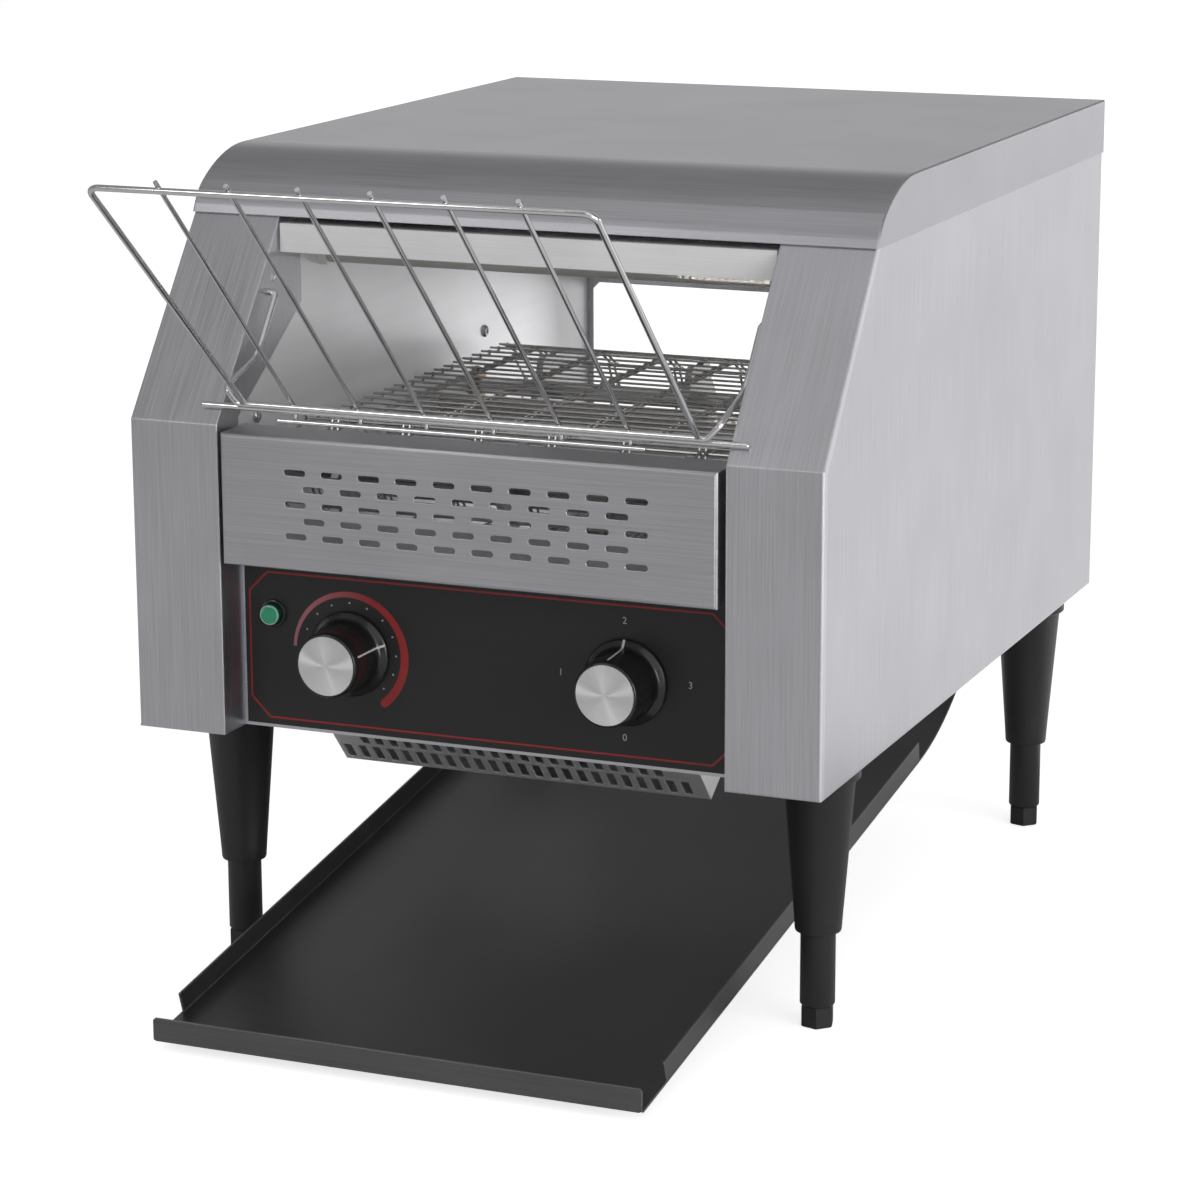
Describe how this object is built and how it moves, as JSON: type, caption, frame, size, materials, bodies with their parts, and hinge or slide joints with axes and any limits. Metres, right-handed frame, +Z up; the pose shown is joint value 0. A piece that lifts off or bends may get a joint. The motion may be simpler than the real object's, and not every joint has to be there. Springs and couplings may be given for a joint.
{
  "type": "conveyor toaster",
  "caption": "Countertop conveyor toaster: brushed steel body on legs, wire-link belt through a front mouth, folding wire loading rack, control knobs and a sliding toast tray.",
  "frame": {"origin": "on the bench under the middle of everything from the loading rack's top wire to the cable gland", "axes": "+X to the toaster's right as seen from its front, +Y to the back, +Z up"},
  "size_m": [0.37, 0.6362, 0.4381],
  "materials": {
    "body_steel": "vertical brushed grain",
    "cover_steel": "brushed grain, lengthwise",
    "front_steel": "horizontal brushed grain",
    "bright_steel": "bright polished sheet",
    "inner_steel": "mill finish sheet",
    "tray_steel": "satin sheet",
    "wire_steel": "polished wire",
    "belt_steel": "drawn wire",
    "zinc_steel": "zinc plated",
    "black_face": "satin black film",
    "black_knob": "semi-gloss moulding",
    "knob_cap": "spun",
    "lamp_green": "translucent moulding",
    "lamp_ring": "gloss moulding",
    "leg_black": "textured moulding",
    "quartz": "clear quartz",
    "ceramic": "glazed ceramic",
    "bronze": "sintered bronze",
    "motor_black": "black enamel",
    "chain_steel": "oiled",
    "black_plastic": "moulded",
    "white_plastic": "moulded",
    "screw_steel": "turned"
  },
  "bodies": {
    "chassis": {"top_cover": "cover_steel", "side_panel_left": "body_steel", "side_panel_right": "body_steel", "rear_panel": "body_steel", "base_pan": "zinc_steel", "front_vent_panel": "front_steel", "control_panel": "body_steel", "control_face": "black_face", "air_guard": "bright_steel", "inner_wall_left": "inner_steel", "inner_wall_right": "inner_steel", "upper_reflector": "bright_steel", "lower_reflector": "bright_steel", "box_shield": "inner_steel", "upper_heaters": "quartz", "lower_heaters": "quartz", "heater_holders": "ceramic", "conveyor_belt": "belt_steel", "drive_chain": "chain_steel", "gear_motor": "motor_black", "motor_bracket": "zinc_steel", "shaft_bushes": "bronze", "fan_frame": "black_plastic", "rotary_switch": "black_plastic", "speed_control": "zinc_steel", "lamp_ring": "lamp_ring", "lamp_lens": "lamp_green", "terminal_block": "white_plastic", "thermal_limiter": "ceramic", "cable_gland": "black_plastic", "screws": "screw_steel", "leg_front_left": "leg_black", "leg_front_right": "leg_black", "leg_rear_left": "leg_black", "leg_rear_right": "leg_black", "tray_rail_left": "zinc_steel", "tray_rail_right": "zinc_steel"},
    "loading_rack": {"rack_frame": "wire_steel", "rack_bars": "wire_steel", "rack_rods": "wire_steel", "rack_hanger": "wire_steel"},
    "tray": {"toast_tray": "tray_steel"},
    "drive_roller": {"drive_shaft": "inner_steel", "drive_sprockets": "inner_steel", "driven_chain_wheel": "chain_steel"},
    "idler_roller": {"idler_shaft": "inner_steel", "idler_sprockets": "inner_steel"},
    "motor_output": {"motor_shaft": "inner_steel", "motor_chain_wheel": "chain_steel"},
    "impeller": {"fan_impeller": "black_plastic"},
    "colour_dial": {"colour_knob": "black_knob", "colour_knob_cap": "knob_cap", "colour_spindle": "zinc_steel"},
    "mode_dial": {"mode_knob": "black_knob", "mode_knob_cap": "knob_cap", "mode_spindle": "zinc_steel"},
    "foot_front_left_body": {"foot_front_left": "leg_black"},
    "foot_front_right_body": {"foot_front_right": "leg_black"},
    "foot_rear_left_body": {"foot_rear_left": "leg_black"},
    "foot_rear_right_body": {"foot_rear_right": "leg_black"}
  },
  "joints": [
    {"name": "rack_fold", "type": "hinge", "parent": "chassis", "child": "loading_rack", "pos_m": [0, -0.12044, 0.3551], "axis": [-1, 0, 0], "range_deg": [0, 138]},
    {"name": "tray_slide", "type": "slide", "parent": "chassis", "child": "tray", "axis": [0, -1, 0], "range_m": [0, 0.12]},
    {"name": "drive_turn", "type": "hinge", "parent": "chassis", "child": "drive_roller", "pos_m": [0, 0.13606, 0.2635], "axis": [-1, 0, 0], "continuous": true},
    {"name": "idler_turn", "type": "hinge", "parent": "chassis", "child": "idler_roller", "pos_m": [0, -0.11794, 0.2635], "axis": [-1, 0, 0], "continuous": true},
    {"name": "motor_turn", "type": "hinge", "parent": "chassis", "child": "motor_output", "pos_m": [0.1465, 0.13606, 0.1873], "axis": [-1, 0, 0], "continuous": true},
    {"name": "fan_spin", "type": "hinge", "parent": "chassis", "child": "impeller", "pos_m": [0, -0.09594, 0.15], "axis": [0, 0, 1], "continuous": true},
    {"name": "colour_turn", "type": "hinge", "parent": "chassis", "child": "colour_dial", "pos_m": [-0.075, -0.16994, 0.18], "axis": [0, 1, 0], "range_deg": [-136, 61]},
    {"name": "mode_turn", "type": "hinge", "parent": "chassis", "child": "mode_dial", "pos_m": [0.075, -0.16994, 0.18], "axis": [0, 1, 0], "range_deg": [-90, 180]},
    {"name": "front_left_level", "type": "slide", "parent": "chassis", "child": "foot_front_left_body", "axis": [0, 0, -1], "range_m": [0, 0.02]},
    {"name": "front_right_level", "type": "slide", "parent": "chassis", "child": "foot_front_right_body", "axis": [0, 0, -1], "range_m": [0, 0.02]},
    {"name": "rear_left_level", "type": "slide", "parent": "chassis", "child": "foot_rear_left_body", "axis": [0, 0, -1], "range_m": [0, 0.02]},
    {"name": "rear_right_level", "type": "slide", "parent": "chassis", "child": "foot_rear_right_body", "axis": [0, 0, -1], "range_m": [0, 0.02]}
  ],
  "couplings": [
    {"joint": "idler_turn", "follows": "drive_turn", "ratio": 1},
    {"joint": "motor_turn", "follows": "drive_turn", "ratio": 1}
  ]
}
